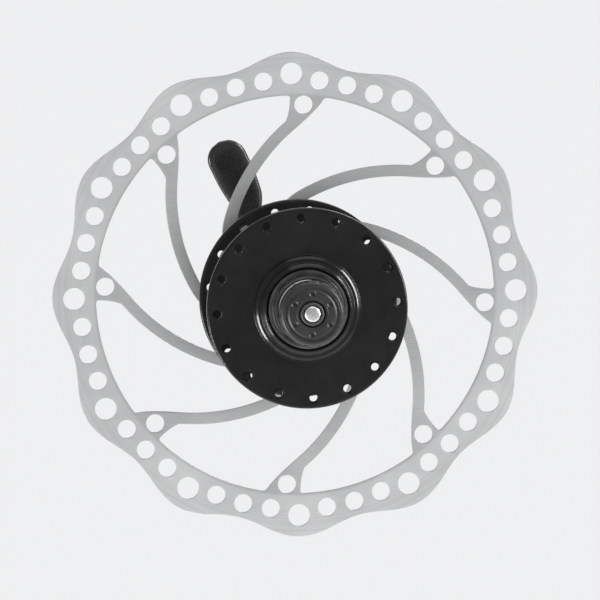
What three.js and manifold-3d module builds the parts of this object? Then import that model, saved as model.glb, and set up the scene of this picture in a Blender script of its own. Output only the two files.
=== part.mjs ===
// Front bicycle hub with a six-bolt disc brake rotor and a quick-release skewer.
// Millimetres. The origin is the middle of the axle, halfway between the two locknut faces.
// +Y runs along the axle to the brake side, +X is forward and +Z is up.
import * as THREE from "three";
import { mergeVertices } from "three/addons/utils/BufferGeometryUtils.js";
import Module from "manifold-3d";

const wasm = await Module();
wasm.setup();

// ---- driving dimensions ----
const OVER_LOCKNUTS = 100;
const AXLE = { length: 108, radius: 4.5, bore: 2.65 };
const BORE_OVER_AXLE = AXLE.radius + 0.3;
const DROPOUT = 6;
const BALL = { radius: 2.38, count: 10, pitch: 9, offset: 35.5, groove: 2.55 };
const FLANGE = { radius: 32.5, thickness: 3.2, right: -34, left: 21.5, edge: 0.8 };
const SPOKE_HOLES = { perFlange: 16, pitch: 29, radius: 1.3, firstAngle: 4 };
const BEARING_BORE = { radius: 13.3, seat: 31.3 };
const SHELL_END = 41.4;
const SHOULDER = { radius: 17.2, end: 38.2, edge: 0.9 };
const ROTOR_SEAT = { face: 39.5, back: 30, middleRadius: 24.2, lobe: 2.8, pilot: 17.3 };
const ROTOR_BOLTS = { count: 6, pitch: 22, clearance: 2.8, shank: 2.45, length: 10, firstAngle: 30 };
const ROTOR = {
  thickness: 1.8,
  peakRadius: 80,
  valleyRadius: 75.8,
  trackInner: 65.7,
  centreOuter: 28,
  bore: 17.6,
  lobes: 12,
  firstPeak: 1,
};
const ROTOR_ARMS = {
  count: 8,
  width: 3.8,
  curve: 62.7,
  curveCentre: 39.8,
  curveAngle: -75.8,
  firstRoot: -2.5,
  rootRadius: 62.7,
  rootHole: 3,
};
const CUP = { inner: 7.2, from: 31.5, floor: 32.95, to: 39.5 };
const CAP = { inner: 11, outer: 13, from: 39.8, to: 41.2 };
const SEAL = { inner: 9.95, outer: 10.7, lip: 0.4 };
const CONE = {
  from: 33,
  raceInner: 6.45,
  raceEnd: 38.05,
  outer: 9.6,
  flatsRadius: 8.5,
  acrossFlats: 15,
  to: 43.4,
};
const CAGE = { inner: 9.95, outer: 11.2, from: 37.9, to: 38.7, fingerReach: 3.2 };
const WASHER = { radius: 8.5, from: 43.5, to: 45.4 };
const LOCKNUT = { corner: 9.8, from: 45.5 };
const SKEWER = { radius: 2.5, nutEnd: -68 };
const CAM = { height: 65, throw: 0.7, radius: 3.5, bigJournal: 4.6, smallJournal: 2.7, halfWidth: 3 };
const EYE = { slack: 0.75, hole: 3.7, outer: 5.3, halfWidth: 2.7 };
const GRIP_RING = { inner: 7.2, outer: 9.3, thickness: 2 };
const HOUSING = { barrel: 8, halfLength: 9.4, base: 9.3, recessFloor: 59 };
const LEVER = { angle: 116, length: 55, headRadius: 8, headFrom: 10.2, headTo: 13.8, shaftEnd: -13 };
const NUT = { radius: 10.5, outerFace: 67.4, recessFloor: 59, lockRing: 4.2 };
const SPRING = { wire: 0.45, small: 3.4, large: 6.5, turns: 3.5, from: 54.8, to: 58.5 };
const GAP = 0.3;

const CLAMP_FACE = OVER_LOCKNUTS / 2 + DROPOUT;
const SIDES = { right: -1, left: 1 };

// ---- materials ----
const material = (color, roughness, metalness) =>
  new THREE.MeshStandardMaterial({ color, roughness, metalness });
const blackShell = material(0x17181a, 0.42, 0.35);
const stainless = material(0xc9cbcd, 0.35, 1);
const steel = material(0x9a9c9f, 0.38, 1);
const darkSteel = material(0x4a4b4e, 0.45, 0.9);
const blackSteel = material(0x202124, 0.4, 0.8);
const blackAlloy = material(0x2a2b2e, 0.36, 0.6);
const rubber = material(0x141414, 0.85, 0);
const nylon = material(0x1c1c1e, 0.6, 0);

// ---- shape helpers ----
const radians = THREE.MathUtils.degToRad;

function polar(radius, degrees) {
  return new THREE.Vector2(radius * Math.cos(radians(degrees)), radius * Math.sin(radians(degrees)));
}

// A solid of revolution about the axle line, from [radius, y] corners in either direction.
function turned(corners, sides) {
  const profile = corners.map(([radius, y]) => new THREE.Vector2(radius, y));
  if (THREE.ShapeUtils.area(profile) < 0) profile.reverse();
  if (profile[0].x > 0) profile.push(profile[0].clone());
  return new THREE.LatheGeometry(profile, sides);
}

// The same, written for the left end of the hub and mirrored for the right end.
function turnedAtEnd(side, corners, sides) {
  return turned(corners.map(([radius, y]) => [radius, side * y]), sides);
}

// The same about the cam axis, which is the Z line through the middle of the cam.
function turnedOnCam(corners, sides) {
  return turned(corners, sides).rotateX(Math.PI / 2).translate(0, CAM.height, 0);
}

function rod(radius, from, to, sides) {
  return turned([[0, from], [radius, from], [radius, to], [0, to]], sides);
}

// An outline in the plane of the wheel, made thick along the axle line.
function plate(shape, from, to) {
  const geometry = new THREE.ExtrudeGeometry(shape, { depth: to - from, bevelEnabled: false });
  return geometry.rotateX(Math.PI / 2).translate(0, to, 0);
}

// An outline across the cam axis, made thick along it.
function camPlate(shape, from, to) {
  const options = { depth: to - from, bevelEnabled: false, curveSegments: 5 };
  return new THREE.ExtrudeGeometry(shape, options).translate(0, 0, from);
}

function circle(centre, radius, sides) {
  const points = [];
  for (let i = 0; i < sides; i++) {
    points.push(polar(radius, (360 * i) / sides).add(centre));
  }
  return new THREE.Path(points);
}

function arc(centre, radius, from, to, steps) {
  const points = [];
  for (let i = 0; i <= steps; i++) {
    points.push(polar(radius, from + ((to - from) * i) / steps).add(centre));
  }
  return points;
}

// ---- solid joins and cuts ----
function solidOf(geometry) {
  const bare = geometry.clone();
  bare.deleteAttribute("normal");
  bare.deleteAttribute("uv");
  const welded = mergeVertices(bare, 1e-4);
  const corners = welded.index.array;
  const faces = [];
  for (let i = 0; i < corners.length; i += 3) {
    const [a, b, c] = [corners[i], corners[i + 1], corners[i + 2]];
    if (a !== b && b !== c && c !== a) faces.push(a, b, c);
  }
  const vertProperties = new Float32Array(welded.attributes.position.array);
  const mesh = new wasm.Mesh({ numProp: 3, vertProperties, triVerts: new Uint32Array(faces) });
  return new wasm.Manifold(mesh);
}

function geometryOf(solid) {
  const mesh = solid.getMesh();
  const geometry = new THREE.BufferGeometry();
  geometry.setAttribute("position", new THREE.BufferAttribute(new Float32Array(mesh.vertProperties), 3));
  geometry.setIndex(new THREE.BufferAttribute(new Uint32Array(mesh.triVerts), 1));
  return geometry;
}

function cutAndJoin(base, joined, cut) {
  let solid = solidOf(base);
  for (const geometry of joined) solid = solid.add(solidOf(geometry));
  for (const geometry of cut) solid = solid.subtract(solidOf(geometry));
  return geometryOf(solid);
}

// ---- hub shell ----
function shellProfile() {
  const { radius, thickness, edge } = FLANGE;
  const right = [FLANGE.right - thickness / 2, FLANGE.right + thickness / 2];
  const left = [FLANGE.left - thickness / 2, FLANGE.left + thickness / 2];
  const flangeRim = (from, to) => [
    [radius - edge, from],
    [radius, from + edge],
    [radius, to - edge],
    [radius - edge, to],
  ];
  return [
    [BEARING_BORE.radius, -SHELL_END],
    [14.4, -SHELL_END],
    [15, -SHELL_END + 0.8],
    [15, -SHOULDER.end],
    [SHOULDER.radius - SHOULDER.edge, -SHOULDER.end],
    [SHOULDER.radius, -SHOULDER.end + SHOULDER.edge],
    [SHOULDER.radius, right[0] - 0.6],
    [SHOULDER.radius + 0.6, right[0]],
    ...flangeRim(...right),
    [22, right[1]],
    [19, right[1] + 1.2],
    [17.4, right[1] + 4.4],
    [16.2, right[1] + 10],
    [16, -10],
    [16, 6],
    [17.2, left[0] - 4.4],
    [19, left[0] - 1.2],
    [22, left[0]],
    ...flangeRim(...left),
    [20.5, left[1]],
    [18.6, left[1] + 1.4],
    [18.6, ROTOR_SEAT.back + 1],
    [ROTOR_SEAT.pilot, ROTOR_SEAT.face - 0.5],
    [ROTOR_SEAT.pilot, SHELL_END - 0.5],
    [ROTOR_SEAT.pilot - 0.5, SHELL_END],
    [BEARING_BORE.radius, SHELL_END],
    [BEARING_BORE.radius, BEARING_BORE.seat],
    [10, BEARING_BORE.seat],
    [10, -BEARING_BORE.seat],
    [BEARING_BORE.radius, -BEARING_BORE.seat],
  ];
}

function rotorSeatPlate() {
  const outline = [];
  const steps = ROTOR_BOLTS.count * 10;
  for (let i = 0; i < steps; i++) {
    const angle = (360 * i) / steps;
    const wave = Math.cos(radians(ROTOR_BOLTS.count * (angle - ROTOR_BOLTS.firstAngle)));
    outline.push(polar(ROTOR_SEAT.middleRadius + ROTOR_SEAT.lobe * wave, angle));
  }
  const shape = new THREE.Shape(outline);
  shape.holes.push(circle(new THREE.Vector2(), (BEARING_BORE.radius + ROTOR_SEAT.pilot) / 2, 36));
  return plate(shape, ROTOR_SEAT.back, ROTOR_SEAT.face);
}

function cylinderAcross(centre, radius, from, to, sides) {
  return plate(new THREE.Shape(circle(centre, radius, sides).getPoints()), from, to);
}

function spokeHoleCutters() {
  const cutters = [];
  const pitchAngle = 360 / SPOKE_HOLES.perFlange;
  const flanges = [[FLANGE.right, 0], [FLANGE.left, pitchAngle / 2]];
  for (const [centre, twist] of flanges) {
    for (let i = 0; i < SPOKE_HOLES.perFlange; i++) {
      const place = polar(SPOKE_HOLES.pitch, SPOKE_HOLES.firstAngle + twist + pitchAngle * i);
      const reach = FLANGE.thickness;
      cutters.push(cylinderAcross(place, SPOKE_HOLES.radius, centre - reach, centre + reach, 6));
    }
  }
  return cutters;
}

function boltPlaces() {
  const places = [];
  for (let i = 0; i < ROTOR_BOLTS.count; i++) {
    places.push(polar(ROTOR_BOLTS.pitch, ROTOR_BOLTS.firstAngle + (360 / ROTOR_BOLTS.count) * i));
  }
  return places;
}

function hubShell() {
  const { clearance } = ROTOR_BOLTS;
  const { back, face } = ROTOR_SEAT;
  const boltHoles = boltPlaces().map((place) => cylinderAcross(place, clearance, back - 1, face + 1, 8));
  return cutAndJoin(turned(shellProfile(), 36), [rotorSeatPlate()], [...spokeHoleCutters(), ...boltHoles]);
}

// ---- bearings, the same at both ends ----
function grooveArc(from, to) {
  const centre = new THREE.Vector2(BALL.pitch, BALL.offset);
  return arc(centre, BALL.groove, from, to, 4).map((point) => [point.x, point.y]);
}

function bearingCup(side) {
  const { inner, from, floor, to } = CUP;
  const outer = BEARING_BORE.radius - GAP;
  const mouth = BALL.pitch + BALL.groove;
  const race = grooveArc(0, -90);
  const corners = [[inner, from], [outer, from], [outer, to], [mouth, to], ...race, [inner, floor]];
  return turnedAtEnd(side, corners, 24);
}

function dustCap(side) {
  const { inner, outer, from, to } = CAP;
  return turnedAtEnd(side, [[inner, from], [outer, from], [outer, to], [inner, to]], 24);
}

function dustSeal(side) {
  const { inner, outer, lip } = SEAL;
  const { from, to } = CAP;
  return turnedAtEnd(side, [[inner, from + lip], [outer, from], [outer, to], [inner, to - lip]], 24);
}

function cone(side) {
  const { from, raceInner, outer, raceEnd, flatsRadius, to, acrossFlats } = CONE;
  const base = turnedAtEnd(
    side,
    [[BORE_OVER_AXLE, from], [raceInner, from], ...grooveArc(180, 90), [outer, raceEnd], [outer, CAP.to],
      [flatsRadius, CAP.to], [flatsRadius, to], [BORE_OVER_AXLE, to]],
    24,
  );
  const cut = { length: to - CAP.to + 0.4, depth: 4 };
  const flats = [-1, 1].map((end) => {
    const box = new THREE.BoxGeometry(2 * outer, cut.length, cut.depth);
    return box.translate(0, side * (CAP.to + 0.1 + cut.length / 2), end * (acrossFlats + cut.depth) / 2);
  });
  return cutAndJoin(base, [], flats);
}

function ballPlace(side, i) {
  const place = polar(BALL.pitch, (360 / BALL.count) * i);
  return new THREE.Vector3(place.x, side * BALL.offset, place.y);
}

function ballCage(side) {
  const { inner, outer, from, to, fingerReach } = CAGE;
  const band = turnedAtEnd(side, [[inner, from], [outer, from], [outer, to], [inner, to]], 20);
  const fingers = [];
  for (let i = 0; i < BALL.count; i++) {
    const finger = new THREE.BoxGeometry(0.9, fingerReach, 1.3);
    finger.translate(inner + 0.55, side * (from + 0.3 - fingerReach / 2), 0);
    fingers.push(finger.rotateY(radians((360 / BALL.count) * (i + 0.5))));
  }
  return cutAndJoin(band, fingers, []);
}

// ---- axle and its nuts ----
function axle() {
  const end = AXLE.length / 2;
  const { radius, bore } = AXLE;
  const chamfer = 0.6;
  return turned(
    [[bore, -end], [radius - chamfer, -end], [radius, chamfer - end], [radius, end - chamfer],
      [radius - chamfer, end], [bore, end]],
    16,
  );
}

function washer(side) {
  const { radius, from, to } = WASHER;
  return turnedAtEnd(side, [[BORE_OVER_AXLE, from], [radius, from], [radius, to], [BORE_OVER_AXLE, to]], 20);
}

function locknut(side) {
  const shape = new THREE.Shape(circle(new THREE.Vector2(), LOCKNUT.corner, 6).getPoints());
  shape.holes.push(circle(new THREE.Vector2(), BORE_OVER_AXLE, 16));
  const face = OVER_LOCKNUTS / 2;
  return side > 0 ? plate(shape, LOCKNUT.from, face) : plate(shape, -face, -LOCKNUT.from);
}

// ---- brake rotor ----
function rotorOutline() {
  const middle = (ROTOR.peakRadius + ROTOR.valleyRadius) / 2;
  const wave = (ROTOR.peakRadius - ROTOR.valleyRadius) / 2;
  const stepsPerLobe = 6;
  const points = [];
  for (let i = 0; i < ROTOR.lobes * stepsPerLobe; i++) {
    const phase = (360 * i) / stepsPerLobe;
    points.push(polar(middle + wave * Math.cos(radians(phase)), ROTOR.firstPeak + phase / ROTOR.lobes));
  }
  return new THREE.Shape(points);
}

// One opening between two neighbouring arms, with the first arm's root hole at the given angle.
function rotorWindow(rootAngle) {
  const pitchAngle = 360 / ROTOR_ARMS.count;
  const curveCentre = polar(ROTOR_ARMS.curveCentre, ROTOR_ARMS.curveAngle + rootAngle);
  const nextCentre = polar(ROTOR_ARMS.curveCentre, ROTOR_ARMS.curveAngle + rootAngle + pitchAngle);
  const half = ROTOR_ARMS.width / 2;
  const [armStart, armEnd] = [rootAngle + 43, rootAngle + 82];
  const nextStart = armStart + pitchAngle;
  const nextEnd = armEnd + pitchAngle + 3;
  const path = new THREE.Path();
  const track = arc(new THREE.Vector2(), ROTOR.trackInner, rootAngle + pitchAngle - 6, rootAngle + 4, 5);
  path.setFromPoints(track);
  const outerEdge = arc(curveCentre, ROTOR_ARMS.curve + half, armStart, armEnd, 5);
  const rootBend = polar(ROTOR.trackInner - 5, rootAngle + 4);
  path.quadraticCurveTo(rootBend.x, rootBend.y, outerEdge[0].x, outerEdge[0].y);
  outerEdge.slice(1).forEach((point) => path.lineTo(point.x, point.y));
  const innerEdge = arc(nextCentre, ROTOR_ARMS.curve - half, nextEnd, nextStart, 5);
  const from = outerEdge.at(-1).angle();
  const span = (innerEdge[0].angle() - from + 2 * Math.PI) % (2 * Math.PI);
  for (let i = 1; i < 3; i++) {
    const place = polar(ROTOR.centreOuter, THREE.MathUtils.radToDeg(from + (span * i) / 3));
    path.lineTo(place.x, place.y);
  }
  innerEdge.forEach((point) => path.lineTo(point.x, point.y));
  const nextBend = polar(ROTOR.trackInner - 3.5, rootAngle + pitchAngle - 5);
  path.quadraticCurveTo(nextBend.x, nextBend.y, track[0].x, track[0].y);
  return new THREE.Path(path.getPoints(3));
}

function rotorTrackHoles() {
  const holes = [];
  const pitchAngle = 360 / ROTOR.lobes;
  for (let i = 0; i < ROTOR.lobes; i++) {
    const peak = ROTOR.firstPeak + pitchAngle * i;
    holes.push(circle(polar(72.9, peak), 3.6, 8));
    for (const step of [1, 2, 3]) {
      holes.push(circle(polar(71, peak + (pitchAngle * step) / 4), 3, 6));
    }
  }
  return holes;
}

function brakeRotor() {
  const shape = rotorOutline();
  shape.holes.push(circle(new THREE.Vector2(), ROTOR.bore, 32));
  shape.holes.push(...boltPlaces().map((place) => circle(place, ROTOR_BOLTS.clearance, 8)));
  shape.holes.push(...rotorTrackHoles());
  for (let i = 0; i < ROTOR_ARMS.count; i++) {
    const rootAngle = ROTOR_ARMS.firstRoot + (360 / ROTOR_ARMS.count) * i;
    shape.holes.push(rotorWindow(rootAngle));
    shape.holes.push(circle(polar(ROTOR_ARMS.rootRadius, rootAngle), ROTOR_ARMS.rootHole, 6));
  }
  return plate(shape, ROTOR_SEAT.face, ROTOR_SEAT.face + ROTOR.thickness);
}

// A bolt with its head on the rotor, about its own axis.
function rotorBolt() {
  const seat = ROTOR_SEAT.face + ROTOR.thickness;
  const tip = seat - ROTOR_BOLTS.length;
  const { shank } = ROTOR_BOLTS;
  const socket = 1.9;
  return turned(
    [[0, tip], [shank, tip], [shank, seat], [4.6, seat], [4.6, seat + 1], [3.6, seat + 2.3],
      [socket, seat + 2.3], [socket, seat + 0.8], [0, seat + 0.8]],
    12,
  );
}

// ---- quick release ----
function gripRing(side) {
  const inboard = CLAMP_FACE;
  const outboard = CLAMP_FACE + GRIP_RING.thickness - 0.1;
  const { inner, outer } = GRIP_RING;
  return turnedAtEnd(side, [[inner, inboard], [outer, inboard], [outer, outboard], [inner, outboard]], 24);
}

function nutBody() {
  const bore = SKEWER.radius + GAP;
  const { radius, outerFace, recessFloor, lockRing } = NUT;
  const rim = CLAMP_FACE + GRIP_RING.thickness;
  return turnedAtEnd(
    SIDES.right,
    [[bore, recessFloor], [GRIP_RING.inner, recessFloor], [GRIP_RING.inner, rim], [GRIP_RING.outer, rim],
      [radius, rim + 1], [radius, outerFace - 2.6], [radius - 0.8, outerFace - 1.4],
      [7.6, outerFace - 0.4], [6.8, outerFace], [lockRing, outerFace], [lockRing, outerFace - 3.2],
      [bore, outerFace - 3.2]],
    28,
  );
}

function nutLockRing() {
  const bore = SKEWER.radius + GAP;
  const outer = NUT.lockRing - GAP;
  const face = NUT.outerFace;
  return turnedAtEnd(
    SIDES.right,
    [[bore, face - 3], [outer, face - 3], [outer, face - 0.6], [outer - 0.4, face - 0.2],
      [bore, face - 0.2]],
    14,
  );
}

function coneSpring(side) {
  const points = [];
  const steps = SPRING.turns * 10;
  for (let i = 0; i <= steps; i++) {
    const share = i / steps;
    const place = polar(THREE.MathUtils.lerp(SPRING.small, SPRING.large, share), 36 * i);
    const along = THREE.MathUtils.lerp(SPRING.from, SPRING.to, share);
    points.push(new THREE.Vector3(place.x, side * along, place.y));
  }
  const section = new THREE.Shape(circle(new THREE.Vector2(), SPRING.wire, 6).getPoints());
  const extrudePath = new THREE.CatmullRomCurve3(points);
  return new THREE.ExtrudeGeometry(section, { steps, extrudePath, bevelEnabled: false });
}

// The slotted outline of the rod's eye, about the middle of the raised cam.
function slotOutline(radius) {
  const middle = CAM.height + CAM.throw;
  const shape = new THREE.Shape();
  shape.absarc(EYE.slack, middle, radius, -Math.PI / 2, Math.PI / 2, false);
  shape.absarc(-EYE.slack, middle, radius, Math.PI / 2, (3 * Math.PI) / 2, false);
  return shape;
}

function skewerRod() {
  const { radius, nutEnd } = SKEWER;
  const eyeBottom = CAM.height + CAM.throw - EYE.outer;
  const shaft = turned(
    [[0, nutEnd], [radius - 0.5, nutEnd], [radius, nutEnd + 0.5], [radius, eyeBottom + 1], [0, eyeBottom + 1]],
    14,
  );
  const eye = slotOutline(EYE.outer);
  eye.holes.push(slotOutline(EYE.hole));
  return cutAndJoin(camPlate(eye, -EYE.halfWidth, EYE.halfWidth), [shaft], []);
}

function eyeCavity() {
  const middle = CAM.height + CAM.throw;
  const clearance = EYE.outer + GAP;
  const reach = EYE.slack + clearance;
  const shape = new THREE.Shape();
  shape.moveTo(-reach, CLAMP_FACE);
  shape.lineTo(reach, CLAMP_FACE);
  shape.lineTo(reach, middle);
  shape.absarc(EYE.slack, middle, clearance, 0, Math.PI / 2, false);
  shape.absarc(-EYE.slack, middle, clearance, Math.PI / 2, Math.PI, false);
  return camPlate(shape, -EYE.halfWidth - GAP, EYE.halfWidth + GAP);
}

function leverHousing() {
  const base = CLAMP_FACE + GRIP_RING.thickness;
  const { barrel, halfLength, recessFloor } = HOUSING;
  const body = turned(
    [[0, base], [HOUSING.base, base], [HOUSING.base, base + 2.2], [8.4, base + 4.2], [barrel, CAM.height],
      [0, CAM.height]],
    24,
  );
  const barrelSolid = turnedOnCam(
    [[0, -halfLength], [barrel - 0.5, -halfLength], [barrel, 0.5 - halfLength],
      [barrel, halfLength - 0.5], [barrel - 0.5, halfLength], [0, halfLength]],
    24,
  );
  const cavityHalf = EYE.halfWidth + GAP;
  const belowBase = rod(2 * barrel, CLAMP_FACE - barrel, base, 12);
  const springRecess = rod(GRIP_RING.inner, CLAMP_FACE, recessFloor, 24);
  const bigBore = turnedOnCam(
    [[0, cavityHalf - 0.1], [CAM.bigJournal + GAP, cavityHalf - 0.1],
      [CAM.bigJournal + GAP, halfLength + 1], [0, halfLength + 1]],
    18,
  );
  const smallBore = turnedOnCam(
    [[0, -halfLength - 1], [CAM.smallJournal + GAP, -halfLength - 1],
      [CAM.smallJournal + GAP, 0.1 - cavityHalf], [0, 0.1 - cavityHalf]],
    14,
  );
  return cutAndJoin(body, [barrelSolid], [belowBase, springRecess, eyeCavity(), bigBore, smallBore]);
}

// The lever's arm: an oval bar that runs from beside the housing to its middle and widens to a paddle.
function leverArm() {
  const bar = new THREE.CylinderGeometry(1, 1, 1, 12, 12);
  bar.rotateZ(-Math.PI / 2);
  const place = bar.attributes.position;
  const ease = THREE.MathUtils.smoothstep;
  const neck = (LEVER.headTo - LEVER.headFrom) / 2;
  const headMiddle = (LEVER.headTo + LEVER.headFrom) / 2;
  for (let i = 0; i < place.count; i++) {
    const along = place.getX(i) + 0.5;
    const tip = 1 - 0.45 * ease(along, 0.9, 1);
    const halfWidth = (neck + 2 * ease(along, 0.14, 0.3) + 2.8 * ease(along, 0.3, 0.8)) * tip;
    const halfDepth = (2.4 - 0.5 * ease(along, 0.2, 0.9)) * tip;
    const depthCentre = CAM.height + 2.2 * Math.sin(Math.PI * along) - 2.5 * along;
    const sideCentre = headMiddle * (1 - ease(along, 0.14, 0.62));
    place.setXYZ(
      i,
      2 + (LEVER.length - 2) * along,
      depthCentre + halfDepth * place.getY(i),
      sideCentre + halfWidth * place.getZ(i),
    );
  }
  return bar;
}

function camLever() {
  const { halfWidth } = CAM;
  const { shaftEnd } = LEVER;
  const head = turnedOnCam(
    [[0, LEVER.headFrom], [LEVER.headRadius, LEVER.headFrom], [LEVER.headRadius, LEVER.headTo - 0.8],
      [LEVER.headRadius - 0.8, LEVER.headTo], [0, LEVER.headTo]],
    20,
  );
  const bigJournal = turnedOnCam(
    [[0, halfWidth], [CAM.bigJournal, halfWidth], [CAM.bigJournal, LEVER.headFrom + 1],
      [0, LEVER.headFrom + 1]],
    16,
  );
  const smallJournal = turnedOnCam(
    [[0, shaftEnd], [2.2, shaftEnd], [2.2, -HOUSING.halfLength - 0.3],
      [CAM.smallJournal, -HOUSING.halfLength - 0.3], [CAM.smallJournal, -halfWidth + 1],
      [0, -halfWidth + 1]],
    12,
  );
  const cam = turnedOnCam([[0, -halfWidth], [CAM.radius, -halfWidth], [CAM.radius, halfWidth + 1],
    [0, halfWidth + 1]], 16).translate(0, CAM.throw, 0);
  return cutAndJoin(head, [bigJournal, smallJournal, cam, leverArm()], []);
}

function leverWasher() {
  const inner = CAM.bigJournal + GAP;
  const from = HOUSING.halfLength + 0.15;
  const to = LEVER.headFrom - 0.15;
  return turnedOnCam([[inner, from], [7.6, from], [7.6, to], [inner, to]], 18);
}

// A domed nut on the thin end of the cam shaft.
function camNut() {
  const seat = -HOUSING.halfLength - 0.45;
  const floor = LEVER.shaftEnd - 0.4;
  return turnedOnCam([[0, floor - 2], [2.4, floor - 1.6], [3.9, floor - 0.3], [4.6, floor + 1.3],
    [4.6, seat], [2.5, seat], [2.5, floor], [0, floor]], 12);
}

// ---- assembly ----
const assembly = new THREE.Group();

function addPiece(parent, name, geometry, finish) {
  const piece = new THREE.Mesh(geometry, finish);
  piece.name = name;
  parent.add(piece);
  return piece;
}

function twoDigits(number) {
  return String(number).padStart(2, "0");
}

addPiece(assembly, "hub_shell", hubShell(), blackShell);
addPiece(assembly, "axle", axle(), steel);

for (const [name, side] of Object.entries(SIDES)) {
  addPiece(assembly, `bearing_cup_${name}`, bearingCup(side), steel);
  addPiece(assembly, `dust_cap_${name}`, dustCap(side), blackSteel);
  addPiece(assembly, `dust_seal_${name}`, dustSeal(side), rubber);
  addPiece(assembly, `cone_${name}`, cone(side), steel);
  addPiece(assembly, `washer_${name}`, washer(side), steel);
  addPiece(assembly, `locknut_${name}`, locknut(side), blackSteel);
  addPiece(assembly, `ball_cage_${name}`, ballCage(side), steel);
  addPiece(assembly, `spring_${name}`, coneSpring(side), steel);
  for (let i = 0; i < BALL.count; i++) {
    const shape = new THREE.SphereGeometry(BALL.radius, 8, 6);
    const ball = addPiece(assembly, `ball_${name}_${twoDigits(i + 1)}`, shape, stainless);
    ball.position.copy(ballPlace(side, i));
  }
}

addPiece(assembly, "brake_rotor", brakeRotor(), stainless);
boltPlaces().forEach((place, i) => {
  const bolt = addPiece(assembly, `rotor_bolt_${i + 1}`, rotorBolt(), blackSteel);
  bolt.position.set(place.x, 0, place.y);
});

addPiece(assembly, "skewer_nut", nutBody(), blackAlloy);
addPiece(assembly, "nut_grip_ring", gripRing(SIDES.right), darkSteel);
addPiece(assembly, "nut_lock_ring", nutLockRing(), nylon);

const leverSide = new THREE.Group();
leverSide.rotation.y = -radians(LEVER.angle);
assembly.add(leverSide);
addPiece(leverSide, "skewer_rod", skewerRod(), stainless);
addPiece(leverSide, "lever_housing", leverHousing(), blackAlloy);
addPiece(leverSide, "housing_grip_ring", gripRing(SIDES.left), darkSteel);
addPiece(leverSide, "cam_lever", camLever(), blackAlloy);
addPiece(leverSide, "lever_washer", leverWasher(), nylon);
addPiece(leverSide, "cam_nut", camNut(), blackSteel);

export default assembly;
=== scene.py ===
"""Looks of a front bicycle disc hub with its brake rotor and quick-release skewer.

Shapes are written in millimetres in the CAD model's own frame: +Y runs along the axle to the brake
side, +X is forward and +Z is up. Every mesh is turned into metres when it is made.
"""

import math

import bmesh
import bpy
from mathutils import Matrix, Vector


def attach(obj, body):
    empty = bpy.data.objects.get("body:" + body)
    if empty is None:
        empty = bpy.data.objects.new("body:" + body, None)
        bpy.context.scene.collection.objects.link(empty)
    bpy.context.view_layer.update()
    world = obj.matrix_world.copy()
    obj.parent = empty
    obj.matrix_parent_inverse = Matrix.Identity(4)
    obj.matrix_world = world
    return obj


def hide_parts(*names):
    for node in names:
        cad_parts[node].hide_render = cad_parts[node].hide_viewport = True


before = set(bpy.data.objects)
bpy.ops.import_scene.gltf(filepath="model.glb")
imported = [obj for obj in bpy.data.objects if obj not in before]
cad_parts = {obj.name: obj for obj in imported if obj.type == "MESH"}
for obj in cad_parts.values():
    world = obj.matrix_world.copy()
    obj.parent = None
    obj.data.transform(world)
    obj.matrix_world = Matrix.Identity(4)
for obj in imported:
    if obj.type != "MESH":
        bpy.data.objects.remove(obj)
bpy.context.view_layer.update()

MM = 0.001
TURN = 2 * math.pi

# ---- sizes shared with the CAD model, in millimetres ----
LOCKNUT_FACE = 50
CLAMP_FACE = 56
AXLE_END = 54
AXLE_RADIUS = 4.5
SHELL_END = 41.4
BEARING_BORE = 13.3
SHOULDER = 17.2
SHOULDER_END = 38.2
BALL_RADIUS = 2.38
BALL_PITCH = 9
BALL_OFFSET = 35.5
BALL_COUNT = 10
GROOVE = 2.55
FLANGE_RADIUS = 32.5
FLANGE_CENTRES = {"right": -34, "left": 21.5}
FLANGE_HALF = 1.6
SPOKE_PITCH = 29
SPOKE_HOLE = 1.3
SPOKES = 16
FIRST_SPOKE = math.radians(4)
ROTOR_FACE = 39.5
ROTOR_THICKNESS = 1.8
SEAT_BACK = 30
SEAT_MIDDLE = 24.2
SEAT_LOBE = 2.8
BOLT_PITCH = 22
BOLTS = 6
FIRST_BOLT = math.radians(30)
LEVER_ANGLE = math.radians(116)
CAM_HEIGHT = 65
CAM_THROW = 0.7
SIDES = {"right": -1, "left": 1}


# ---- mesh helpers ----
def finished(name, mesh, sharp=32):
    """An object from a mesh in millimetres: welded, turned to face outward and smooth up to an angle."""
    work = bmesh.new()
    work.from_mesh(mesh)
    bmesh.ops.remove_doubles(work, verts=work.verts, dist=1e-4)
    bmesh.ops.dissolve_degenerate(work, edges=work.edges, dist=1e-5)
    bmesh.ops.recalc_face_normals(work, faces=work.faces)
    work.to_mesh(mesh)
    work.free()
    mesh.transform(Matrix.Scale(MM, 4))
    mesh.shade_smooth()
    mesh.set_sharp_from_angle(angle=math.radians(sharp))
    piece = bpy.data.objects.new(name, mesh)
    bpy.context.scene.collection.objects.link(piece)
    weights = piece.modifiers.new("even_shading", "WEIGHTED_NORMAL")
    weights.keep_sharp = True
    return piece


def mesh_of(name, corners, faces):
    mesh = bpy.data.meshes.new(name)
    mesh.from_pydata(corners, [], faces)
    mesh.validate()
    return mesh


def mesh_from(name, work):
    """A mesh with the contents of a bmesh, which is then freed."""
    mesh = bpy.data.meshes.new(name)
    work.to_mesh(mesh)
    work.free()
    return mesh


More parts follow.
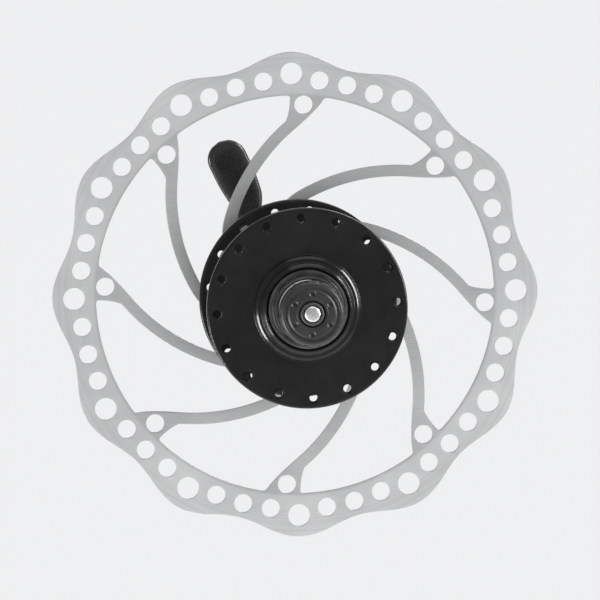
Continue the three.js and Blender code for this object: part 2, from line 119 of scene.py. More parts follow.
def rounded(corners, closed=True, steps=4):
    """A profile whose corners are cut back by their third number and rounded off."""
    places = [Vector(corner[:2]) for corner in corners]
    count = len(places)
    points = []
    for i, corner in enumerate(corners):
        size = corner[2] if len(corner) > 2 else 0
        at_end = not closed and i in (0, count - 1)
        if not size or at_end:
            points.append(places[i])
            continue
        before = places[i - 1] - places[i]
        after = places[(i + 1) % count] - places[i]
        start = places[i] + before.normalized() * min(size, before.length * 0.48)
        end = places[i] + after.normalized() * min(size, after.length * 0.48)
        for step in range(steps + 1):
            share = step / steps
            points.append(
                start * (1 - share) ** 2 + places[i] * 2 * share * (1 - share) + end * share**2
            )
    return points


def turned_mesh(name, profile, sides=96, shape=None):
    """A mesh turned about the axle line from (radius, y) points; shape may move each point."""
    on_axis = profile[0][0] < 1e-6 and profile[-1][0] < 1e-6
    corners, rows = [], []
    for radius, y in profile:
        if radius < 1e-6:
            rows.append([len(corners)] * sides)
            corners.append((0, y, 0))
            continue
        row = []
        for i in range(sides):
            angle = TURN * i / sides
            r, along = shape(radius, y, angle) if shape else (radius, y)
            row.append(len(corners))
            corners.append((r * math.cos(angle), along, r * math.sin(angle)))
        rows.append(row)
    faces = []
    last = len(rows) - 1 if on_axis else len(rows)
    for i in range(last):
        low, high = rows[i], rows[(i + 1) % len(rows)]
        for j in range(sides):
            k = (j + 1) % sides
            ring = [low[j], low[k], high[k], high[j]]
            face = [v for n, v in enumerate(ring) if v != ring[n - 1]]
            if len(face) > 2:
                faces.append(face)
    return mesh_of(name, corners, faces)


def turned(name, corners, sides=96, shape=None, sharp=32):
    on_axis = corners[0][0] == 0 and corners[-1][0] == 0
    profile = rounded(corners, closed=not on_axis)
    return finished(name, turned_mesh(name, profile, sides, shape), sharp)


def mirrored(corners, side):
    return [(corner[0], side * corner[1], *corner[2:]) for corner in corners]


def polar(radius, angle):
    return Vector((radius * math.cos(angle), radius * math.sin(angle)))


def circle(centre, radius, sides):
    return [centre + polar(radius, TURN * i / sides) for i in range(sides)]


def arc(centre, radius, start, end, steps):
    return [centre + polar(radius, start + (end - start) * i / steps) for i in range(steps + 1)]


def plate_mesh(name, outlines, low, high, edge=0.12):
    """A flat plate in the plane of the wheel with rounded rims, from its outline and its holes."""
    curve = bpy.data.curves.new(name, "CURVE")
    curve.dimensions = "2D"
    curve.fill_mode = "BOTH"
    curve.extrude = (high - low) / 2 - edge
    curve.bevel_depth = edge
    curve.bevel_resolution = 1
    curve.offset = -edge
    for outline in outlines:
        spline = curve.splines.new("POLY")
        spline.points.add(len(outline) - 1)
        for point, place in zip(spline.points, outline):
            point.co = (place[0], place[1], 0, 1)
        spline.use_cyclic_u = True
    holder = bpy.data.objects.new(name, curve)
    bpy.context.scene.collection.objects.link(holder)
    mesh = bpy.data.meshes.new_from_object(holder.evaluated_get(bpy.context.evaluated_depsgraph_get()))
    bpy.data.objects.remove(holder)
    mesh.transform(Matrix.Translation((0, (low + high) / 2, 0)) @ Matrix.Rotation(math.pi / 2, 4, "X"))
    return mesh


def merged(name, parts):
    """One mesh that holds several."""
    work = bmesh.new()
    for part in parts:
        work.from_mesh(part)
    return mesh_from(name, work)


def combined(name, base, other, operation):
    """The mesh of base with other joined to it or cut from it."""
    holders = []
    for mesh in (base, other):
        clean = bmesh.new()
        clean.from_mesh(mesh)
        bmesh.ops.remove_doubles(clean, verts=clean.verts, dist=1e-4)
        bmesh.ops.recalc_face_normals(clean, faces=clean.faces)
        clean.to_mesh(mesh)
        clean.free()
        holder = bpy.data.objects.new(name, mesh)
        bpy.context.scene.collection.objects.link(holder)
        holders.append(holder)
    boolean = holders[0].modifiers.new("solid", "BOOLEAN")
    boolean.operation = operation
    boolean.solver = "EXACT"
    boolean.object = holders[1]
    result = holders[0].evaluated_get(bpy.context.evaluated_depsgraph_get())
    mesh = bpy.data.meshes.new_from_object(result)
    for holder in holders:
        bpy.data.objects.remove(holder)
    return mesh


def moved(mesh, *steps):
    for step in steps:
        mesh.transform(step)
    return mesh


# ---- materials ----
class Nodes:
    """The node tree of one material, with short calls to add and join its nodes."""

    def __init__(self, name):
        self.material = bpy.data.materials.new(name)
        self.material.use_nodes = True
        self.tree = self.material.node_tree
        self.shader = self.tree.nodes["Principled BSDF"]
        self.place = self.add("ShaderNodeTexCoord").outputs["Object"]

    def add(self, kind, **settings):
        node = self.tree.nodes.new(kind)
        for key, value in settings.items():
            setattr(node, key, value)
        return node

    def join(self, source, target):
        self.tree.links.new(source, target)

    def math(self, operation, first, second=None):
        node = self.add("ShaderNodeMath", operation=operation)
        for socket, value in zip(node.inputs, (first, second)):
            if value is None:
                continue
            if isinstance(value, (int, float)):
                socket.default_value = value
            else:
                self.join(value, socket)
        return node.outputs[0]

    def noise(self, scale, detail=3, roughness=0.55, vector=None):
        node = self.add("ShaderNodeTexNoise")
        node.inputs["Scale"].default_value = scale
        node.inputs["Detail"].default_value = detail
        node.inputs["Roughness"].default_value = roughness
        self.join(vector or self.place, node.inputs["Vector"])
        return node.outputs["Fac"]

    def span(self, value, low, high, source_low=0.3, source_high=0.7):
        node = self.add("ShaderNodeMapRange")
        self.join(value, node.inputs["Value"])
        node.inputs["From Min"].default_value = source_low
        node.inputs["From Max"].default_value = source_high
        node.inputs["To Min"].default_value = low
        node.inputs["To Max"].default_value = high
        return node.outputs["Result"]

    def blend(self, amount, first, second):
        node = self.add("ShaderNodeMix", data_type="RGBA")
        self.join(amount, node.inputs["Factor"])
        for socket, value in ((node.inputs["A"], first), (node.inputs["B"], second)):
            if isinstance(value, tuple):
                socket.default_value = (*value, 1)
            else:
                self.join(value, socket)
        return node.outputs["Result"]

    def radius(self):
        """Distance from the axle line, in metres."""
        parts = self.add("ShaderNodeSeparateXYZ")
        self.join(self.place, parts.inputs[0])
        flat = self.add("ShaderNodeCombineXYZ")
        self.join(parts.outputs["X"], flat.inputs["X"])
        self.join(parts.outputs["Z"], flat.inputs["Z"])
        length = self.add("ShaderNodeVectorMath", operation="LENGTH")
        self.join(flat.outputs[0], length.inputs[0])
        return length.outputs["Value"], parts.outputs["Y"]

    def rings(self, width):
        """Fine turning marks: noise that changes only with radius and with place along the axle."""
        radius, along = self.radius()
        lane = self.add("ShaderNodeCombineXYZ")
        self.join(radius, lane.inputs["X"])
        self.join(along, lane.inputs["Y"])
        return self.noise(1 / width, detail=2, vector=lane.outputs[0])

    def bump(self, *layers):
        """Height layers of (value, depth in metres), stacked into one normal."""
        normal = None
        for value, depth in layers:
            node = self.add("ShaderNodeBump")
            node.inputs["Distance"].default_value = depth
            node.inputs["Strength"].default_value = 1
            self.join(value, node.inputs["Height"])
            if normal:
                self.join(normal, node.inputs["Normal"])
            normal = node.outputs[0]
        self.join(normal, self.shader.inputs["Normal"])

    def finish(self, color, roughness, metallic, **fixed):
        for socket, value in (("Base Color", color), ("Roughness", roughness)):
            if isinstance(value, tuple):
                self.shader.inputs[socket].default_value = (*value, 1)
            elif isinstance(value, (int, float)):
                self.shader.inputs[socket].default_value = value
            else:
                self.join(value, self.shader.inputs[socket])
        self.shader.inputs["Metallic"].default_value = metallic
        for key, value in fixed.items():
            self.shader.inputs[key.replace("_", " ")].default_value = value
        return self.material


def black_satin(name, dark, light, roughness, marks, shine):
    """Black anodised or painted alloy with faint turning marks and a slightly uneven gloss."""
    nodes = Nodes(name)
    clouds = nodes.noise(180)
    fine = nodes.noise(4200, detail=2)
    lanes = nodes.rings(marks)
    tone = nodes.blend(nodes.span(clouds, 0, 1), dark, light)
    gloss = nodes.math("ADD", nodes.span(clouds, roughness - 0.03, roughness + 0.03),
                       nodes.span(lanes, -0.03, 0.03))
    nodes.bump((fine, 2e-6), (lanes, 1.5e-6))
    return nodes.finish(tone, gloss, 0, Specular_IOR_Level=shine)


def plain_steel(name, dark, light, roughness, marks):
    """Bare turned steel: fine lanes from the tool and a little staining."""
    nodes = Nodes(name)
    clouds = nodes.noise(260)
    lanes = nodes.rings(marks)
    tone = nodes.blend(nodes.span(clouds, 0, 1), dark, light)
    gloss = nodes.math("ADD", nodes.span(lanes, roughness - 0.07, roughness + 0.07),
                       nodes.span(clouds, -0.03, 0.05))
    nodes.bump((lanes, 4e-6))
    return nodes.finish(tone, gloss, 1)


def rotor_steel():
    """Stainless sheet: arms ground in one direction and a track scuffed in fine rings by the pads; its cut
    edges carry painted shade.
    """
    nodes = Nodes("rotor_stainless")
    radius, _ = nodes.radius()
    on_track = nodes.span(radius, 0, 1, 0.0658, 0.0668)
    scuffs = nodes.rings(0.00045)
    fine_scuffs = nodes.rings(0.00009)
    stretch = nodes.add("ShaderNodeMapping")
    stretch.inputs["Scale"].default_value = (0.04, 1, 1)
    nodes.join(nodes.place, stretch.inputs["Vector"])
    grain = nodes.noise(5200, detail=2, vector=stretch.outputs[0])
    patches = nodes.noise(45, detail=2)
    arm_tone = nodes.blend(nodes.span(grain, 0, 1), (0.45, 0.453, 0.453), (0.51, 0.513, 0.513))
    track_tone = nodes.blend(nodes.span(scuffs, 0, 1), (0.53, 0.533, 0.533), (0.62, 0.623, 0.623))
    face_tone = nodes.blend(on_track, arm_tone, track_tone)
    # Painted shade: faces that do not point along the axle, the sheet's cut edges, get a darker fixed tone
    # so the thin rim stays dark against the pale room.
    facing = nodes.add("ShaderNodeSeparateXYZ")
    nodes.join(nodes.add("ShaderNodeTexCoord").outputs["Normal"], facing.inputs[0])
    flatness = nodes.math("ABSOLUTE", facing.outputs["Y"])
    face_not_edge_shade = nodes.span(flatness, 0, 1, 0.2, 0.8)
    tone = nodes.blend(face_not_edge_shade, (0.33, 0.325, 0.32), face_tone)
    gloss = nodes.math("ADD", nodes.span(patches, 0.3, 0.4), nodes.span(fine_scuffs, -0.03, 0.03))
    depth = nodes.math("MULTIPLY", nodes.math("SUBTRACT", fine_scuffs, 0.5), on_track)
    nodes.bump((grain, 1.2e-6), (depth, 2e-6))
    return nodes.finish(tone, gloss, 1)


def soft_black(name, color, roughness, grain_scale, grain_depth):
    """Rubber or nylon: matt, with a fine moulded grain."""
    nodes = Nodes(name)
    grain = nodes.noise(grain_scale, detail=4)
    clouds = nodes.noise(300)
    lighter = tuple(channel * 1.8 for channel in color)
    tone = nodes.blend(nodes.span(clouds, 0, 1), color, lighter)
    nodes.bump((grain, grain_depth))
    return nodes.finish(tone, nodes.span(grain, roughness - 0.06, roughness + 0.06), 0)


FINISHES = {
    "shell_black": black_satin("shell_black", (0.004, 0.004, 0.0043),
                               (0.007, 0.007, 0.0073), 0.17, 0.0002, 0.18),
    "quick_release_black": black_satin("quick_release_black", (0.014, 0.014, 0.0145),
                                       (0.021, 0.021, 0.0215), 0.36, 0.0003, 0.2),
    "lever_black": black_satin("lever_black", (0.008, 0.008, 0.0085),
                               (0.013, 0.013, 0.0135), 0.28, 0.0006, 0.4),
    "black_steel": plain_steel("black_steel", (0.05, 0.05, 0.052), (0.085, 0.085, 0.088), 0.36, 0.0002),
    "axle_steel": plain_steel("axle_steel", (0.44, 0.44, 0.44), (0.58, 0.58, 0.58), 0.28, 0.00015),
    "bearing_steel": plain_steel("bearing_steel", (0.42, 0.42, 0.42), (0.54, 0.54, 0.54), 0.24, 0.00012),
    "ball_steel": plain_steel("ball_steel", (0.68, 0.68, 0.68), (0.72, 0.72, 0.72), 0.1, 0.0004),
    "spring_steel": plain_steel("spring_steel", (0.5, 0.5, 0.5), (0.64, 0.64, 0.64), 0.25, 0.0003),
    "grip_steel": plain_steel("grip_steel", (0.16, 0.16, 0.165), (0.26, 0.26, 0.265), 0.38, 0.0002),
    "rotor_stainless": rotor_steel(),
    "rubber": soft_black("rubber", (0.014, 0.014, 0.014), 0.72, 2600, 1.2e-5),
    "nylon": soft_black("nylon", (0.016, 0.016, 0.017), 0.5, 3600, 5e-6),
}


def placed(piece, body, slot, *nodes):
    """Gives a new piece its finish, its body and the CAD nodes that it stands for."""
    piece.data.materials.clear()
    piece.data.materials.append(FINISHES[slot])
    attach(piece, body)
    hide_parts(*nodes)
    return piece


# ---- hub shell ----
def seat_wave(angle):
    return SEAT_MIDDLE + SEAT_LOBE * math.cos(BOLTS * (angle - FIRST_BOLT))


def shell_shape(radius, y, angle):
    """The rotor seat swells to a boss round each bolt and draws in between them."""
    full = SEAT_MIDDLE + SEAT_LOBE
    on_seat = SEAT_BACK - 0.01 <= y <= ROTOR_FACE + 0.01 and radius > 19
    if not on_seat:
        return radius, y
    share = (radius - 19) / (full - 19)
    return 19 + share * (seat_wave(angle) - 19), y


def shell_corners():
    right_out = FLANGE_CENTRES["right"] - FLANGE_HALF
    right_in = FLANGE_CENTRES["right"] + FLANGE_HALF
    left_in = FLANGE_CENTRES["left"] - FLANGE_HALF
    left_out = FLANGE_CENTRES["left"] + FLANGE_HALF
    seat = SEAT_MIDDLE + SEAT_LOBE
    return [
        (BEARING_BORE, -SHELL_END, 0.3),
        (13.8, -SHELL_END, 0.2),
        (15, 1.1 - SHELL_END, 0.6),
        (15, -SHOULDER_END, 0.5),
        (15.9, -SHOULDER_END, 0.3),
        (SHOULDER, 1 - SHOULDER_END, 1.1),
        (SHOULDER, right_out, 0.4),
        (18, right_out, 0.4),
        (FLANGE_RADIUS, right_out, 1.1),
        (FLANGE_RADIUS, right_in, 1.1),
        (22, right_in, 5),
        (17.2, right_in + 4, 5),
        (16, -14, 9),
        (16, 3, 9),
        (17.2, left_in - 4, 5),
        (22, left_in, 5),
        (FLANGE_RADIUS, left_in, 1.1),
        (FLANGE_RADIUS, left_out, 1.1),
        (18.6, left_out, 2),
        (18.6, SEAT_BACK, 1),
        (seat - 1.2, SEAT_BACK, 0.6),
        (seat, SEAT_BACK + 1, 0.6),
        (seat, ROTOR_FACE, 0.5),
        (17.3, ROTOR_FACE, 0),
        (17.3, SHELL_END, 0.5),
        (BEARING_BORE, SHELL_END, 0.3),
        (BEARING_BORE, 31.3, 0),
        (10, 31.3, 0.3),
        (10, -31.3, 0.3),
        (BEARING_BORE, -31.3, 0),
    ]


def cylinder_mesh(name, centre, profile, sides):
    """A short turned cutter along the axle direction, at a place in the plane of the wheel."""
    mesh = turned_mesh(name, profile, sides)
    return moved(mesh, Matrix.Translation((centre[0], 0, centre[1])))


def spoke_cutters():
    """Each hole is drilled straight through and lightly countersunk on both faces."""
    cutters = []
    pitch = TURN / SPOKES
    for side, twist in (("right", 0), ("left", pitch / 2)):
        middle = FLANGE_CENTRES[side]
        sink = 0.45
        reach = FLANGE_HALF + 0.3
        profile = [
            (0, middle - reach),
            (SPOKE_HOLE + sink + 0.3, middle - reach),
            (SPOKE_HOLE, middle - FLANGE_HALF + sink),
            (SPOKE_HOLE, middle + FLANGE_HALF - sink),
            (SPOKE_HOLE + sink + 0.3, middle + reach),
            (0, middle + reach),
        ]
        for i in range(SPOKES):
            centre = polar(SPOKE_PITCH, FIRST_SPOKE + twist + pitch * i)
            cutters.append(cylinder_mesh("spoke_hole", centre, profile, 20))
    return cutters


def bolt_places():
    return [polar(BOLT_PITCH, FIRST_BOLT + TURN * i / BOLTS) for i in range(BOLTS)]


def bolt_cutters():
    low, high = SEAT_BACK - 1, ROTOR_FACE + 0.5
    profile = [(0, low), (2.8, low), (2.8, ROTOR_FACE - 0.4), (3.7, high), (0, high)]
    return [cylinder_mesh("bolt_hole", place, profile, 24) for place in bolt_places()]


def hub_shell():
    blank = turned_mesh("hub_shell", rounded(shell_corners(), steps=5), 168, shell_shape)
    cutters = merged("holes", spoke_cutters() + bolt_cutters())
    piece = finished("shell_body", combined("hub_shell", blank, cutters, "DIFFERENCE"))
    placed(piece, "hub", "shell_black", "hub_shell")


# ---- brake rotor ----
ROTOR_PEAK = 80
ROTOR_VALLEY = 75.8
TRACK_INNER = 65.7
CENTRE_OUTER = 28
ROTOR_BORE = 17.6
LOBES = 12
FIRST_PEAK = math.radians(1)
ARMS = 8
ARM_WIDTH = 3.8
ARM_CURVE = 62.7
ARM_CENTRE = 39.8
ARM_CENTRE_ANGLE = math.radians(-75.8)
FIRST_ROOT = math.radians(-2.5)
ROOT_RADIUS = 62.7


def trimmed(path, length):
    """The path with that length taken off its end."""
    path = [point.copy() for point in path]
    while len(path) > 2 and (path[-1] - path[-2]).length < length:
        length -= (path[-1] - path[-2]).length
        path.pop()
    back = path[-2] - path[-1]
    path[-1] = path[-1] + back.normalized() * min(length, back.length * 0.9)
    return path


def loop_of(paths, corner_sizes, steps=5):
    """One closed outline from smooth stretches, with each corner after a stretch rounded."""
    ready = []
    for i, path in enumerate(paths):
        cut_end = trimmed(path, corner_sizes[i])
        ready.append(trimmed(cut_end[::-1], corner_sizes[i - 1])[::-1])
    outline = []
    for i, path in enumerate(ready):
        outline += path
        start, end, corner = path[-1], ready[(i + 1) % len(ready)][0], paths[i][-1]
        for step in range(1, steps):
            share = step / steps
            outline.append(start * (1 - share) ** 2 + corner * 2 * share * (1 - share) + end * share**2)
    return outline


def curve_between(start, bend, end, steps=8):
    return [
        start * (1 - i / steps) ** 2 + bend * 2 * (i / steps) * (1 - i / steps) + end * (i / steps) ** 2
        for i in range(steps + 1)
    ]


def rotor_window(root):
    """The opening from the arm whose root hole is at this angle round to the next arm."""
    degree = math.radians(1)
    pitch = TURN / ARMS
    centre = polar(ARM_CENTRE, ARM_CENTRE_ANGLE + root)
    next_centre = polar(ARM_CENTRE, ARM_CENTRE_ANGLE + root + pitch)
    half = ARM_WIDTH / 2
    origin = Vector((0, 0))
    track = arc(origin, TRACK_INNER, root + pitch - 6 * degree, root + 4 * degree, 16)
    outer = arc(centre, ARM_CURVE + half, root + 43 * degree, root + 82 * degree, 16)
    inner = arc(next_centre, ARM_CURVE - half, root + 130 * degree, root + 88 * degree, 16)
    start = math.atan2(outer[-1].y, outer[-1].x)
    end = math.atan2(inner[0].y, inner[0].x)
    middle = arc(origin, CENTRE_OUTER, start, start + (end - start) % TURN, 8)
    middle[0], middle[-1] = outer[-1], inner[0]
    near_side = curve_between(track[-1], polar(TRACK_INNER - 5, root + 4 * degree), outer[0])
    far_bend = polar(TRACK_INNER - 3.5, root + pitch - 5 * degree)
    far_side = curve_between(inner[-1], far_bend, track[0])
    return loop_of([track, near_side + outer[1:], middle, inner + far_side[1:]], [1.2, 4.2, 3.2, 1.2])


def brake_rotor():
    origin = Vector((0, 0))
    middle = (ROTOR_PEAK + ROTOR_VALLEY) / 2
    wave = (ROTOR_PEAK - ROTOR_VALLEY) / 2
    steps = LOBES * 36
    rim = []
    for i in range(steps):
        angle = TURN * i / steps
        rim.append(polar(middle + wave * math.cos(LOBES * angle), FIRST_PEAK + angle))
    outlines = [rim, circle(origin, ROTOR_BORE, 96)]
    outlines += [circle(place, 2.75, 24) for place in bolt_places()]
    for i in range(LOBES):
        peak = FIRST_PEAK + TURN * i / LOBES
        outlines.append(circle(polar(72.9, peak), 3.6, 28))
        for step in (1, 2, 3):
            outlines.append(circle(polar(71, peak + TURN / LOBES * step / 4), 3, 24))
    for i in range(ARMS):
        root = FIRST_ROOT + TURN * i / ARMS
        outlines.append(rotor_window(root))
        outlines.append(circle(polar(ROOT_RADIUS, root), 3, 24))
    mesh = plate_mesh("brake_rotor", outlines, ROTOR_FACE, ROTOR_FACE + ROTOR_THICKNESS)
    placed(finished("rotor_disc", mesh), "hub", "rotor_stainless", "brake_rotor")


# ---- threads and sockets ----
def thread_rows(radius, low, high, pitch):
    """Profile rows close enough together for a thread between two places along a rod."""
    count = round((high - low) / pitch * 6)
    return [(radius, low + (high - low) * i / count) for i in range(count + 1)]


def thread_cut(depth, pitch, angle, y):
    """How far a thread cuts in at an angle and a place along the rod."""
    phase = (y / pitch + angle / TURN) % 1
    return depth * abs(2 * phase - 1)


def rotor_bolts():
    head = ROTOR_FACE + ROTOR_THICKNESS
    tip = head - 10
    shank = 2.45
    pitch = 0.8

    def shape(radius, y, angle):
        if tip + 0.4 < y < head - 1 and radius > 2:
            return radius - thread_cut(0.4, pitch, angle, y), y
        if y > head + 0.7 and 1 < radius < 2.3:
            return radius * (1 + 0.13 * math.cos(6 * angle)), y
        return radius, y

    head_rows = rounded(
        [(shank, head - 0.6), (shank, head), (4.6, head, 0.15), (4.6, head + 0.9, 0.35),
         (3.4, head + 2.3, 0.7), (2.1, head + 2.3, 0.12), (1.85, head + 2.0), (1.85, head + 0.8),
         (0, head + 0.6)],
        closed=False,
    )
    profile = [(0, tip), (2, tip), (shank, tip + 0.45)]
    profile += thread_rows(shank, tip + 0.5, head - 1, pitch) + head_rows
    for i, place in enumerate(bolt_places()):
        mesh = turned_mesh("rotor_bolt", profile, 36, shape)
        moved(mesh, Matrix.Rotation(0.7 * i, 4, "Y"), Matrix.Translation((place[0], 0, place[1])))
        piece = finished(f"bolt_{i + 1}", mesh, 40)
        placed(piece, "hub", "black_steel", f"rotor_bolt_{i + 1}")


# ---- bearings ----
def groove(start, end, steps=10):
    centre = Vector((BALL_PITCH, BALL_OFFSET))
    points = arc(centre, GROOVE, math.radians(start), math.radians(end), steps)
    return [(point.x, point.y) for point in points]


def bearing_cup(name, side):
    outer = BEARING_BORE - 0.3
    corners = [
        (7.2, 31.5, 0.2),
        (outer, 31.5, 0.5),
        (outer, 39.5, 0.3),
        (BALL_PITCH + GROOVE, 39.5, 0.3),
        *groove(0, -90),
        (7.2, 32.95, 0.2),
    ]
    piece = turned(f"cup_{name}", mirrored(corners, side), 72)
    placed(piece, "hub", "bearing_steel", f"bearing_cup_{name}")


def dust_cap(name, side):
    corners = [
        (10.9, 39.8, 0.1), (13, 39.8, 0.15), (13, 40.9, 0.3), (12.2, 41.2, 0.3),
        (11.6, 41.2, 0.2), (11.3, 40.9, 0.2), (10.9, 40.9, 0.1),
    ]
    placed(turned(f"cap_{name}", mirrored(corners, side)), "hub", "black_steel", f"dust_cap_{name}")


def dust_seal(name, side):
    corners = [
        (9.75, 40.5, 0.1), (10.2, 39.9, 0.2), (10.75, 39.9, 0.1), (10.75, 40.8, 0.1),
        (10.6, 41.15, 0.15), (10.2, 40.9, 0.2), (9.85, 40.8, 0.1),
    ]
    placed(turned(f"seal_{name}", mirrored(corners, side)), "hub", "rubber", f"dust_seal_{name}")


def ball_cage(name, side):
    corners = [(9.95, 37.9), (11.2, 37.9), (11.2, 38.5), (11, 38.7), (10.15, 38.7), (9.95, 38.5)]
    band = turned_mesh("band", mirrored(corners, side), 80)
    fingers = []
    for i in range(BALL_COUNT):
        finger = turned_mesh("finger", [(0, -1.7), (0.45, -1.6), (0.62, -1.2), (0.62, 1.9), (0, 1.9)], 12)
        move = Matrix.Translation((10.55, side * 36.6, 0)) @ Matrix.Scale(side, 4, (0, 1, 0))
        fingers.append(moved(finger, move, Matrix.Rotation(TURN * (i + 0.5) / BALL_COUNT, 4, "Y")))
    mesh = combined("ball_cage", band, merged("fingers", fingers), "UNION")
    placed(finished(f"cage_{name}", mesh), f"balls_{name}", "bearing_steel", f"ball_cage_{name}")


def bearing_balls(name, side):
    for i in range(BALL_COUNT):
        work = bmesh.new()
        bmesh.ops.create_icosphere(work, subdivisions=4, radius=BALL_RADIUS)
        place = polar(BALL_PITCH, TURN * i / BALL_COUNT)
        move = Matrix.Translation((place[0], side * BALL_OFFSET, place[1]))
        mesh = moved(mesh_from("ball", work), move)
        number = f"{i + 1:02d}"
        piece = finished(f"bearing_ball_{name}_{number}", mesh, 60)
        placed(piece, f"balls_{name}", "ball_steel", f"ball_{name}_{number}")


# ---- axle set ----
def inside_hexagon(radius, angle, apothem):
    """The radius, drawn in where it would stand outside a hexagon."""
    return min(radius, apothem / math.cos(angle % (TURN / 6) - TURN / 12))


def axle():
    def shape(radius, y, angle):
        if abs(y) > 43 and radius > 4 and abs(y) < AXLE_END - 0.45:
            return radius - thread_cut(0.45, 1, angle, y), y
        return radius, y

    end = AXLE_END
    profile = [(2.65, -end + 0.3), (2.95, -end), (3.95, -end), (4.45, 0.5 - end)]
    profile += thread_rows(AXLE_RADIUS, 0.6 - end, -42, 1) + thread_rows(AXLE_RADIUS, 42, end - 0.6, 1)
    profile += [(4.45, end - 0.5), (3.95, end), (2.95, end), (2.65, end - 0.3)]
    piece = finished("axle_tube", turned_mesh("axle", profile, 48, shape), 50)
    placed(piece, "axle_set", "axle_steel", "axle")


def cone(name, side):
    corners = [
        (4.8, 33, 0.15), (6.45, 33, 0.1), *groove(180, 90), (9.6, 38.05, 0.3), (9.6, 41.2, 0.3),
        (8.5, 41.5, 0.15), (8.5, 43.4, 0.3), (4.8, 43.4, 0.15),
    ]
    blank = turned_mesh("cone", rounded(mirrored(corners, side)), 72)
    flats = []
    for end in (-1, 1):
        work = bmesh.new()
        bmesh.ops.create_cube(work, size=1)
        bmesh.ops.scale(work, vec=(20, 2.1, 4), verts=work.verts)
        bmesh.ops.translate(work, vec=(0, side * 42.75, end * 9.5), verts=work.verts)
        flats.append(mesh_from("flat", work))
    piece = finished(f"cone_nut_{name}", combined("cone", blank, merged("flats", flats), "DIFFERENCE"))
    placed(piece, "axle_set", "bearing_steel", f"cone_{name}")


def washer(name, side):
    corners = [(4.8, 43.5, 0.15), (8.5, 43.5, 0.3), (8.5, 45.4, 0.3), (4.8, 45.4, 0.15)]
    piece = turned(f"spacer_{name}", mirrored(corners, side))
    placed(piece, "axle_set", "axle_steel", f"washer_{name}")


def locknut(name, side):
    """A hex nut with turned chamfers and a ring of teeth on the face that bites the fork."""
    teeth = 40

    def shape(radius, y, angle):
        radius = inside_hexagon(radius, angle, 8.45)
        if abs(y) > LOCKNUT_FACE - 0.05 and 5.6 < radius < 7.9:
            y -= side * 0.35 * abs(2 * ((angle * teeth / TURN) % 1) - 1)
        return radius, y

    face = LOCKNUT_FACE
    corners = [
        (4.8, 45.5, 0.2), (8.3, 45.5, 0.1), (9.75, 46.3, 0.1), (9.75, 49.2, 0.1), (8.2, face, 0.1),
        (7.6, face), (5.8, face), (5.3, face, 0.1), (4.8, face - 0.5, 0.1),
    ]
    mesh = turned_mesh("locknut", rounded(mirrored(corners, side)), 240, shape)
    placed(finished(f"lock_nut_{name}", mesh, 25), "axle_set", "black_steel", f"locknut_{name}")


# ---- quick release ----
GRIP_INNER = 7.2
GRIP_OUTER = 9.3
HOUSING_BASE = 58
BARREL = 8
BARREL_HALF = 9.4
BIG_JOURNAL = 4.6
SMALL_JOURNAL = 2.7
EYE_MIDDLE = CAM_HEIGHT + CAM_THROW
EYE_SLACK = 0.75
EYE_OUTER = 5.3
EYE_HOLE = 3.7
EYE_GAP = 0.3
ROD_RADIUS = 2.5
HEAD_FROM = 10.2
HEAD_TO = 13.8
LEVER_LENGTH = 55
TO_LEVER = Matrix.Rotation(-LEVER_ANGLE, 4, "Y")
ON_CAM = Matrix.Translation((0, CAM_HEIGHT, 0)) @ Matrix.Rotation(math.pi / 2, 4, "X")


def grip_ring(name, side, body):
    """Radial teeth on the face that bites the dropout."""
    teeth = 36

    def shape(radius, y, angle):
        if abs(y) < CLAMP_FACE + 0.05 and radius > GRIP_INNER + 0.3:
            y += side * 0.45 * abs(2 * ((angle * teeth / TURN) % 1) - 1)
        return radius, y

    corners = [
        (GRIP_INNER, CLAMP_FACE + 0.5, 0.1), (GRIP_INNER + 0.35, CLAMP_FACE),
        (GRIP_OUTER - 0.25, CLAMP_FACE), (GRIP_OUTER, CLAMP_FACE + 0.6, 0.1),
        (GRIP_OUTER, CLAMP_FACE + 1.9, 0.15), (GRIP_INNER, CLAMP_FACE + 1.9, 0.15),
    ]
    mesh = turned_mesh("grip_ring", rounded(mirrored(corners, side)), 216, shape)
    placed(finished(f"teeth_{name}", mesh, 25), body, "grip_steel",
           {"left": "housing_grip_ring", "right": "nut_grip_ring"}[name])


def skewer_nut():
    """The hand nut: fluted round its rim, with a stepped face and a ring of shallow dimples."""
    rim = 10.5
    face = 67.4
    flutes = 14

    def shape(radius, y, angle):
        if radius > 9.9 and 60 < abs(y) < 66:
            radius -= 0.42 * max(0, math.cos(flutes * angle)) ** 2
        return radius, y

    corners = [
        (2.8, 59, 0.1), (GRIP_INNER, 59, 0.2), (GRIP_INNER, 58, 0.1), (GRIP_OUTER, 58, 0.3),
        (9.9, 58.6, 0.4), (rim, 59.4, 0.4), (rim, 60.4), (rim, 61.2), (rim, 62.4), (rim, 63.6), (rim, 64.8),
        (rim, 65.6, 0.4), (9.6, 66.7, 0.5), (8.9, 66.9, 0.3), (8.6, 66.5, 0.3), (7.9, 66.6, 0.2),
        (7.4, 67.1, 0.3), (5.2, face, 0.3), (4.9, face - 0.25, 0.15), (4.3, face - 0.25, 0.1),
        (4.2, face - 3.2, 0.1), (2.8, face - 3.2, 0.1),
    ]
    blank = turned_mesh("skewer_nut", rounded(mirrored(corners, -1)), 168, shape)
    dimples = []
    for i in range(6):
        work = bmesh.new()
        bmesh.ops.create_icosphere(work, subdivisions=3, radius=1.5)
        place = polar(6.6, TURN * (i + 0.5) / 6)
        bmesh.ops.translate(work, vec=(place.x, -face - 0.75, place.y), verts=work.verts)
        dimples.append(mesh_from("dimple", work))
    piece = finished("hand_nut", combined("skewer_nut", blank, merged("dimples", dimples), "DIFFERENCE"))
    placed(piece, "nut", "quick_release_black", "skewer_nut")


def nut_lock_ring():
    corners = [(2.8, 64.4, 0.1), (3.9, 64.4, 0.1), (3.9, 66.9, 0.3), (3.3, 67.2, 0.2), (2.8, 67.1, 0.1)]
    placed(turned("lock_ring", mirrored(corners, -1), 64), "nut", "nylon", "nut_lock_ring")


